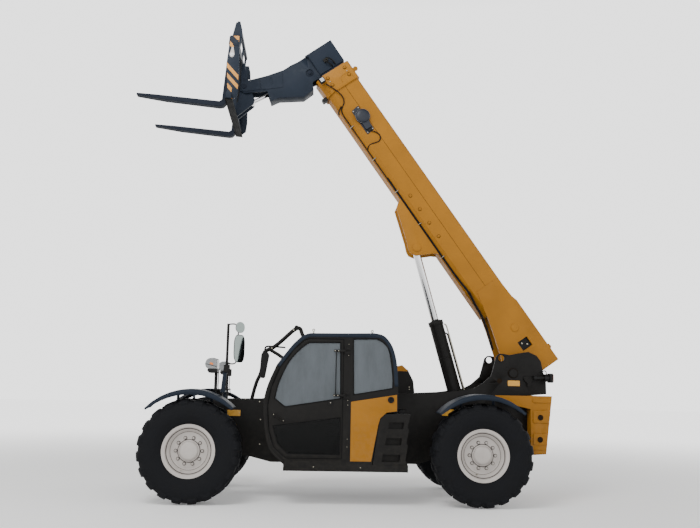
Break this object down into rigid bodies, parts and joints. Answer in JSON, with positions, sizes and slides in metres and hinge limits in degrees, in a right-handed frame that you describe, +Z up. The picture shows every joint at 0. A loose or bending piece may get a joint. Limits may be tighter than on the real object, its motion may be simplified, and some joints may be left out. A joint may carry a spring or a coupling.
{
  "type": "telehandler",
  "caption": "Four-wheel telescopic handler with side cab, raised three-section boom and pallet forks on a tilting carriage.",
  "frame": {"origin": "on the ground, under the middle of the whole machine as parked", "axes": "-X forward towards the fork tips, +Y to the machine's right, +Z up"},
  "size_m": [6.204, 2.464, 6.8229],
  "materials": {
    "boom_yellow": "semi-gloss paint",
    "frame_black": "satin black paint",
    "blue_grey": "satin blue-grey paint",
    "wheel_silver": "silver wheel paint",
    "tyre": "matt tyre rubber",
    "glass": "lightly tinted clear",
    "chrome": "hard chrome plating",
    "cast": "painted casting",
    "steel": "black fork steel",
    "plastic": "black moulded plastic",
    "fabric": "woven seat cloth"
  },
  "bodies": {
    "chassis": {"frame_side_plates": "frame_black", "frame_crossmembers": "frame_black", "counterweight": "boom_yellow", "front_axle": "cast", "rear_axle": "cast", "engine_bay": "frame_black", "engine_block": "cast", "cab_frame": "frame_black", "cab_roof": "frame_black", "cab_floor": "frame_black", "cab_side_panel": "boom_yellow", "cab_glass": "glass", "seat": "fabric", "steering_column": "plastic", "side_step": "frame_black", "lamps": "plastic", "mirrors": "plastic", "cab_guard": "frame_black"},
    "cab_door": {"cab_door": "frame_black", "door_glass": "glass"},
    "engine_hood": {"engine_hood": "boom_yellow"},
    "boom_outer": {"boom_outer": "boom_yellow"},
    "boom_mid": {"boom_mid": "blue_grey"},
    "boom_inner": {"boom_inner": "blue_grey"},
    "lift_barrel": {"lift_barrel": "frame_black"},
    "lift_rod": {"lift_rod": "chrome"},
    "tilt_barrel": {"tilt_barrel": "frame_black"},
    "tilt_rod": {"tilt_rod": "chrome"},
    "fork_carriage": {"carriage": "frame_black", "forks": "steel"},
    "steering_front_left": {"knuckle_front_left": "cast", "fender_front_left": "blue_grey"},
    "wheel_front_left": {"tyre_front_left": "tyre", "rim_front_left": "wheel_silver"},
    "steering_front_right": {"knuckle_front_right": "cast", "fender_front_right": "blue_grey"},
    "wheel_front_right": {"tyre_front_right": "tyre", "rim_front_right": "wheel_silver"},
    "steering_rear_left": {"knuckle_rear_left": "cast", "fender_rear_left": "blue_grey"},
    "wheel_rear_left": {"tyre_rear_left": "tyre", "rim_rear_left": "wheel_silver"},
    "steering_rear_right": {"knuckle_rear_right": "cast", "fender_rear_right": "blue_grey"},
    "wheel_rear_right": {"tyre_rear_right": "tyre", "rim_rear_right": "wheel_silver"}
  },
  "joints": [
    {"name": "steer_front_left", "type": "hinge", "parent": "chassis", "child": "steering_front_left", "pos_m": [-2.0632, -0.83, 0.675], "axis": [0, 0, 1], "range_deg": [-30, 30]},
    {"name": "spin_front_left", "type": "hinge", "parent": "steering_front_left", "child": "wheel_front_left", "pos_m": [-2.0632, -1.01, 0.675], "axis": [0, 1, 0], "continuous": true},
    {"name": "steer_front_right", "type": "hinge", "parent": "chassis", "child": "steering_front_right", "pos_m": [-2.0632, 0.83, 0.675], "axis": [0, 0, 1], "range_deg": [-30, 30]},
    {"name": "spin_front_right", "type": "hinge", "parent": "steering_front_right", "child": "wheel_front_right", "pos_m": [-2.0632, 1.01, 0.675], "axis": [0, 1, 0], "continuous": true},
    {"name": "steer_rear_left", "type": "hinge", "parent": "chassis", "child": "steering_rear_left", "pos_m": [1.7888, -0.83, 0.675], "axis": [0, 0, 1], "range_deg": [-30, 30]},
    {"name": "spin_rear_left", "type": "hinge", "parent": "steering_rear_left", "child": "wheel_rear_left", "pos_m": [1.7888, -1.01, 0.675], "axis": [0, 1, 0], "continuous": true},
    {"name": "steer_rear_right", "type": "hinge", "parent": "chassis", "child": "steering_rear_right", "pos_m": [1.7888, 0.83, 0.675], "axis": [0, 0, 1], "range_deg": [-30, 30]},
    {"name": "spin_rear_right", "type": "hinge", "parent": "steering_rear_right", "child": "wheel_rear_right", "pos_m": [1.7888, 1.01, 0.675], "axis": [0, 1, 0], "continuous": true},
    {"name": "door_hinge", "type": "hinge", "parent": "chassis", "child": "cab_door", "pos_m": [-0.0532, -1.146, 1.4], "axis": [0, 0, 1], "range_deg": [0, 90]},
    {"name": "hood_hinge", "type": "hinge", "parent": "chassis", "child": "engine_hood", "pos_m": [1.0668, 0.79, 1.438], "axis": [0, 1, 0], "range_deg": [0, 45]},
    {"name": "boom_lift", "type": "hinge", "parent": "chassis", "child": "boom_outer", "pos_m": [2.3818, 0, 1.775], "axis": [0, 1, 0], "range_deg": [-59, 15.3]},
    {"name": "boom_extend", "type": "slide", "parent": "boom_outer", "child": "boom_mid", "axis": [-0.5779, 0, 0.8161], "range_m": [0, 3.6]},
    {"name": "boom_extend_inner", "type": "slide", "parent": "boom_mid", "child": "boom_inner", "axis": [-0.5779, 0, 0.8161], "range_m": [0, 3.6]},
    {"name": "lift_barrel_swing", "type": "hinge", "parent": "chassis", "child": "lift_barrel", "pos_m": [1.7288, 0, 1.08], "axis": [0, 1, 0], "range_deg": [-59, 15]},
    {"name": "lift_rod_slide", "type": "slide", "parent": "lift_barrel", "child": "lift_rod", "axis": [-0.2695, 0, 0.963], "range_m": [-1.02, 0.3]},
    {"name": "carriage_tilt", "type": "hinge", "parent": "boom_inner", "child": "fork_carriage", "pos_m": [-1.63891, 0, 6.03115], "axis": [0, 1, 0], "range_deg": [-40, 55]},
    {"name": "tilt_barrel_swing", "type": "hinge", "parent": "boom_inner", "child": "tilt_barrel", "pos_m": [-0.64052, 0, 6.2945], "axis": [0, 1, 0], "range_deg": [-12, 12]},
    {"name": "tilt_rod_slide", "type": "slide", "parent": "tilt_barrel", "child": "tilt_rod", "axis": [-0.8778, 0, -0.479], "range_m": [-0.2, 0.3]}
  ],
  "couplings": [
    {"joint": "steer_front_right", "follows": "steer_front_left", "ratio": 1},
    {"joint": "steer_rear_right", "follows": "steer_rear_left", "ratio": 1},
    {"joint": "boom_extend_inner", "follows": "boom_extend", "ratio": 1},
    {"joint": "lift_barrel_swing", "follows": "boom_lift", "ratio": 0.925},
    {"joint": "lift_rod_slide", "follows": "boom_lift", "m_per_rad": 0.95},
    {"joint": "tilt_barrel_swing", "follows": "carriage_tilt", "ratio": 0.02},
    {"joint": "tilt_rod_slide", "follows": "carriage_tilt", "m_per_rad": 0.215}
  ]
}
